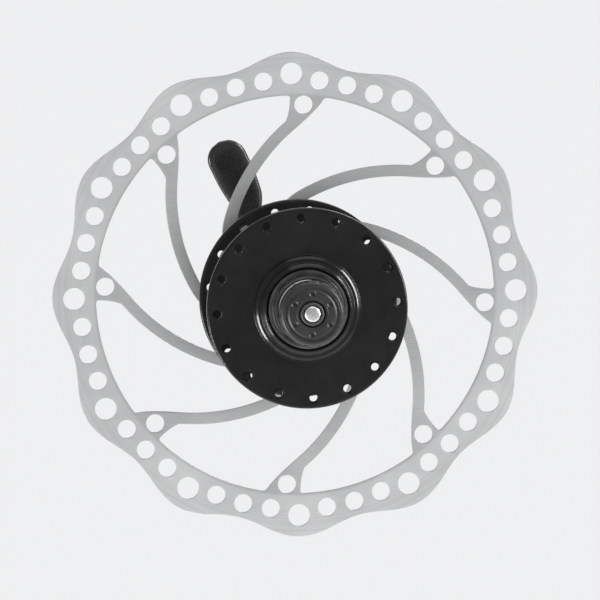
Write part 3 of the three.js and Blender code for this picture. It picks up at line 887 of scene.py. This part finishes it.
def cone_spring(name, side, body):
    """A closed-ended cone spring of round wire, squeezed to its clamped length."""
    turns, wire, across = 3.5, 0.45, 14
    steps = round(turns * 48)
    corners, faces = [], []
    for i in range(steps + 1):
        share = i / steps
        turn = TURN * turns * share
        radius = 3.4 + 3.1 * share
        outward = Vector((math.cos(turn), 0, math.sin(turn)))
        middle = outward * radius + Vector((0, side * (54.8 + 3.7 * share), 0))
        for j in range(across):
            angle = TURN * j / across
            corners.append(middle + wire * (outward * math.cos(angle) + Vector((0, math.sin(angle), 0))))
    for i in range(steps):
        for j in range(across):
            k = (j + 1) % across
            low, high = i * across, (i + 1) * across
            faces.append((low + j, low + k, high + k, high + j))
    faces.append(tuple(range(across)))
    faces.append(tuple(range(steps * across, (steps + 1) * across)))
    piece = finished(f"coil_{name}", mesh_of("cone_spring", corners, faces))
    placed(piece, body, "spring_steel", f"spring_{name}")


def slot_outline(radius, steps=24):
    quarter = math.pi / 2
    near = arc(Vector((EYE_SLACK, EYE_MIDDLE)), radius, -quarter, quarter, steps)
    return near + arc(Vector((-EYE_SLACK, EYE_MIDDLE)), radius, quarter, 3 * quarter, steps)


def standing(mesh):
    """Turns a plate made in the plane of the wheel so that it stands along the cam axis."""
    return moved(mesh, Matrix.Rotation(-math.pi / 2, 4, "X"))


def skewer_rod():
    def shape(radius, y, angle):
        if y < -46 and radius > 2.3 and y > -67.5:
            return radius - thread_cut(0.36, 0.8, angle, y), y
        return radius, y

    shoulder = EYE_MIDDLE - EYE_OUTER
    profile = [(0, -68), (1.9, -68), (2.2, -67.85), (2.45, -67.6)]
    profile += thread_rows(ROD_RADIUS, -67.6, -45.5, 0.8)
    profile += [(ROD_RADIUS, -45), (ROD_RADIUS, shoulder + 1), (0, shoulder + 1)]
    shaft = turned_mesh("shaft", profile, 32, shape)
    eye = standing(plate_mesh("eye", [slot_outline(EYE_OUTER), slot_outline(EYE_HOLE)], -2.7, 2.7, 0.35))
    mesh = moved(combined("skewer_rod", eye, shaft, "UNION"), TO_LEVER)
    placed(finished("skewer_shaft", mesh, 40), "rod", "axle_steel", "skewer_rod")


def smoothed(mesh, cell, rounds):
    """Blends the joins of a rough solid into the soft surfaces of a forging."""
    holder = bpy.data.objects.new("forging", mesh)
    bpy.context.scene.collection.objects.link(holder)
    remesh = holder.modifiers.new("cells", "REMESH")
    remesh.mode = "VOXEL"
    remesh.voxel_size = cell
    smooth = holder.modifiers.new("soft", "SMOOTH")
    smooth.factor = 0.5
    smooth.iterations = rounds
    result = bpy.data.meshes.new_from_object(
        holder.evaluated_get(bpy.context.evaluated_depsgraph_get())
    )
    bpy.data.objects.remove(holder)
    return result


def eye_cavity():
    clearance = EYE_OUTER + EYE_GAP
    reach = EYE_SLACK + clearance
    upper = arc(Vector((EYE_SLACK, EYE_MIDDLE)), clearance, 0, math.pi / 2, 16)
    upper += arc(Vector((-EYE_SLACK, EYE_MIDDLE)), clearance, math.pi / 2, math.pi, 16)
    outline = [Vector((-reach, CLAMP_FACE)), Vector((reach, CLAMP_FACE)), *upper]
    return standing(plate_mesh("cavity", [outline], -3, 3, 0.05))


def lever_housing():
    base_corners = [
        (0, HOUSING_BASE), (GRIP_OUTER, HOUSING_BASE), (GRIP_OUTER, 60.2), (8.4, 62.2),
        (BARREL, CAM_HEIGHT), (0, CAM_HEIGHT),
    ]
    barrel_corners = [
        (0, -BARREL_HALF), (BARREL - 0.5, -BARREL_HALF), (BARREL, 0.5 - BARREL_HALF),
        (BARREL, BARREL_HALF - 0.5), (BARREL - 0.5, BARREL_HALF), (0, BARREL_HALF),
    ]
    base = turned_mesh("base", base_corners, 96)
    barrel = moved(turned_mesh("barrel", barrel_corners, 96), ON_CAM)
    mesh = smoothed(combined("forging", base, barrel, "UNION"), 0.18, 10)
    below = turned_mesh("below", [(0, 48), (20, 48), (20, HOUSING_BASE), (0, HOUSING_BASE)], 64)
    recess = turned_mesh("recess", [(0, 50), (GRIP_INNER, 50), (GRIP_INNER, 59), (0, 59)], 64)
    big = BIG_JOURNAL + 0.3
    big_corners = [(0, 2.9), (big, 2.9), (big, 9.2), (big + 1, 10.4), (0, 10.4)]
    big_bore = moved(turned_mesh("big_bore", big_corners, 64), ON_CAM)
    small = SMALL_JOURNAL + 0.3
    small_corners = [(0, -10.4), (small + 0.9, -10.4), (small, -9.2), (small, -2.9), (0, -2.9)]
    small_bore = moved(turned_mesh("small_bore", small_corners, 48), ON_CAM)
    for cutter in (below, recess, eye_cavity(), big_bore, small_bore):
        mesh = combined("lever_housing", mesh, cutter, "DIFFERENCE")
    piece = finished("housing_body", moved(mesh, TO_LEVER), 62)
    placed(piece, "skewer", "quick_release_black", "lever_housing")


def eased(value, low, high):
    share = min(max((value - low) / (high - low), 0), 1)
    return share * share * (3 - 2 * share)


def lever_arm():
    """The arm leaves the head beside the housing, swings in to its middle and widens to a paddle."""
    stations, across = 72, 40
    neck = (HEAD_TO - HEAD_FROM) / 2
    head_middle = (HEAD_TO + HEAD_FROM) / 2
    corners, faces = [], []
    for i in range(stations + 1):
        along = i / stations
        past = max(0, (along - 0.88) / 0.12)
        tip = math.sqrt(max(1 - past * past, 0.003))
        half_width = (neck + 2 * eased(along, 0.14, 0.3) + 2.8 * eased(along, 0.3, 0.8)) * tip
        half_depth = (2.4 - 0.5 * eased(along, 0.2, 0.9)) * tip ** 0.5
        depth_middle = CAM_HEIGHT + 2.2 * math.sin(math.pi * along) - 2.5 * along
        side_middle = head_middle * (1 - eased(along, 0.14, 0.62))
        scoop = 0.7 * eased(along, 0.4, 0.52) * (1 - eased(along, 0.84, 0.94))
        for j in range(across):
            angle = TURN * j / across
            c, s = math.cos(angle), math.sin(angle)
            wide = math.copysign(abs(c) ** 0.55, c)
            deep = math.copysign(abs(s) ** 0.7, s)
            dip = scoop * max(0, 1 - (wide / 0.72) ** 4) if s > 0 else 0
            corners.append((
                2 + (LEVER_LENGTH - 2) * along,
                depth_middle + half_depth * deep - dip,
                side_middle + half_width * wide,
            ))
    for i in range(stations):
        for j in range(across):
            k = (j + 1) % across
            low, high = i * across, (i + 1) * across
            faces.append((low + j, low + k, high + k, high + j))
    faces.append(tuple(range(across)))
    faces.append(tuple(range(stations * across, (stations + 1) * across)))
    return mesh_of("lever_arm", corners, faces)


def cam_lever():
    head_corners = [
        (0, HEAD_FROM), (7.6, HEAD_FROM), (8, HEAD_FROM + 0.4), (8, HEAD_TO - 0.8), (7.2, HEAD_TO),
        (0, HEAD_TO),
    ]
    big_corners = [
        (0, 3), (BIG_JOURNAL - 0.2, 3), (BIG_JOURNAL, 3.2), (BIG_JOURNAL, HEAD_FROM + 1),
        (0, HEAD_FROM + 1),
    ]
    end, shoulder = -13, -BARREL_HALF - 0.3
    small_corners = [
        (0, end), (1.9, end), (2.2, end + 0.3), (2.2, shoulder), (SMALL_JOURNAL, shoulder),
        (SMALL_JOURNAL, -2), (0, -2),
    ]
    cam_corners = [(0, -3), (3.3, -3), (3.5, -2.8), (3.5, 4), (0, 4)]
    head = moved(turned_mesh("head", head_corners, 96), ON_CAM)
    mesh = smoothed(combined("forging", head, lever_arm(), "UNION"), 0.17, 26)
    big = moved(turned_mesh("big_journal", big_corners, 64), ON_CAM)
    small = moved(turned_mesh("small_journal", small_corners, 48), ON_CAM)
    raised = Matrix.Translation((0, CAM_THROW, 0))
    cam = moved(turned_mesh("cam", cam_corners, 64), ON_CAM, raised)
    for part in (big, small, cam):
        mesh = combined("cam_lever", mesh, part, "UNION")
    placed(finished("lever_body", moved(mesh, TO_LEVER), 62), "lever", "lever_black", "cam_lever")


def lever_washer():
    low, high = BARREL_HALF + 0.15, HEAD_FROM - 0.15
    corners = [(4.9, low, 0.1), (7.6, low, 0.15), (7.6, high, 0.15), (4.9, high, 0.1)]
    mesh = moved(turned_mesh("washer", rounded(corners), 64), ON_CAM, TO_LEVER)
    placed(finished("slip_washer", mesh), "skewer", "nylon", "lever_washer")


def cam_nut():
    """A domed hex nut that keeps the cam shaft in the housing."""
    seat, floor = -BARREL_HALF - 0.45, -13.4

    def shape(radius, y, angle):
        on_hexagon = y > floor + 1 and radius > 3.6
        return (inside_hexagon(radius, angle, 4) if on_hexagon else radius), y

    corners = [
        (0, floor - 2), (1.4, floor - 1.95, 0.3), (2.9, floor - 1.2, 0.6), (3.7, floor + 0.2, 0.6),
        (3.8, floor + 1, 0.1), (4.6, floor + 1.6, 0.05), (4.6, seat - 0.5, 0.05), (4.1, seat, 0.1),
        (2.5, seat, 0.15), (2.5, floor, 0.1), (0, floor),
    ]
    mesh = turned_mesh("cam_nut", rounded(corners, closed=False), 96, shape)
    placed(finished("acorn_nut", moved(mesh, ON_CAM, TO_LEVER), 35), "lever", "black_steel", "cam_nut")


# ---- room, light and camera ----
def sky():
    world = bpy.data.worlds.new("studio")
    world.use_nodes = True
    background = world.node_tree.nodes["Background"]
    background.inputs["Color"].default_value = (0.98, 0.99, 1, 1)
    background.inputs["Strength"].default_value = 0.6
    bpy.context.scene.world = world
    bpy.context.scene.view_settings.view_transform = "Standard"


def paper_floor():
    paper = bpy.data.materials.new("pale_paper")
    paper.use_nodes = True
    shader = paper.node_tree.nodes["Principled BSDF"]
    shader.inputs["Base Color"].default_value = (0.93, 0.93, 0.93, 1)
    shader.inputs["Roughness"].default_value = 0.9
    work = bmesh.new()
    bmesh.ops.create_circle(work, cap_ends=True, segments=96, radius=40)
    floor = bpy.data.objects.new("floor", mesh_from("floor", work))
    floor.location.z = -0.8
    floor.data.materials.append(paper)
    bpy.context.scene.collection.objects.link(floor)


def lamps():
    sun = bpy.data.lights.new("overhead", "SUN")
    sun.energy = 1.1
    sun.angle = math.radians(50)
    bpy.context.scene.collection.objects.link(bpy.data.objects.new("overhead", sun))
    panels = (
        ("right_strip", (1.15, -0.35, 0.45), (0.16, 1.0), 34),
        ("left_strip", (-0.85, -0.32, -0.42), (0.16, 0.5), 16),
        ("front", (1.3, -1.7, 0.6), (0.8, 0.8), 4),
        ("back", (0.6, 1.4, 0.9), (0.5, 0.9), 8),
    )
    for name, place, size, power in panels:
        lamp = bpy.data.lights.new(name, "AREA")
        lamp.shape = "RECTANGLE"
        lamp.size, lamp.size_y = size
        lamp.energy = power
        holder = bpy.data.objects.new(name, lamp)
        holder.location = place
        holder.rotation_euler = (-Vector(place)).to_track_quat("-Z", "Y").to_euler()
        bpy.context.scene.collection.objects.link(holder)


def camera():
    azimuth, elevation = math.radians(-3.0), math.radians(3.4)
    distance, frame_width, sensor = 3.5, 0.196, 36
    middle = Vector((0, 0.01, 0))
    back = Vector((
        math.sin(azimuth) * math.cos(elevation),
        -math.cos(azimuth) * math.cos(elevation),
        math.sin(elevation),
    ))
    lens = bpy.data.cameras.new("camera")
    lens.sensor_width = sensor
    lens.lens = sensor * distance / frame_width
    lens.clip_end = 60
    holder = bpy.data.objects.new("camera", lens)
    holder.location = middle + back * distance
    holder.rotation_euler = (-back).to_track_quat("-Z", "Y").to_euler()
    bpy.context.scene.collection.objects.link(holder)
    bpy.context.scene.camera = holder


# ---- build ----
hub_shell()
brake_rotor()
rotor_bolts()
axle()
for side_name, direction in SIDES.items():
    bearing_cup(side_name, direction)
    dust_cap(side_name, direction)
    dust_seal(side_name, direction)
    ball_cage(side_name, direction)
    bearing_balls(side_name, direction)
    cone(side_name, direction)
    washer(side_name, direction)
    locknut(side_name, direction)
    grip_ring(side_name, direction, {"left": "skewer", "right": "nut"}[side_name])
    cone_spring(side_name, direction, {"left": "skewer", "right": "nut_carriage"}[side_name])
skewer_nut()
nut_lock_ring()
skewer_rod()
lever_housing()
cam_lever()
lever_washer()
cam_nut()
sky()
paper_floor()
lamps()
camera()
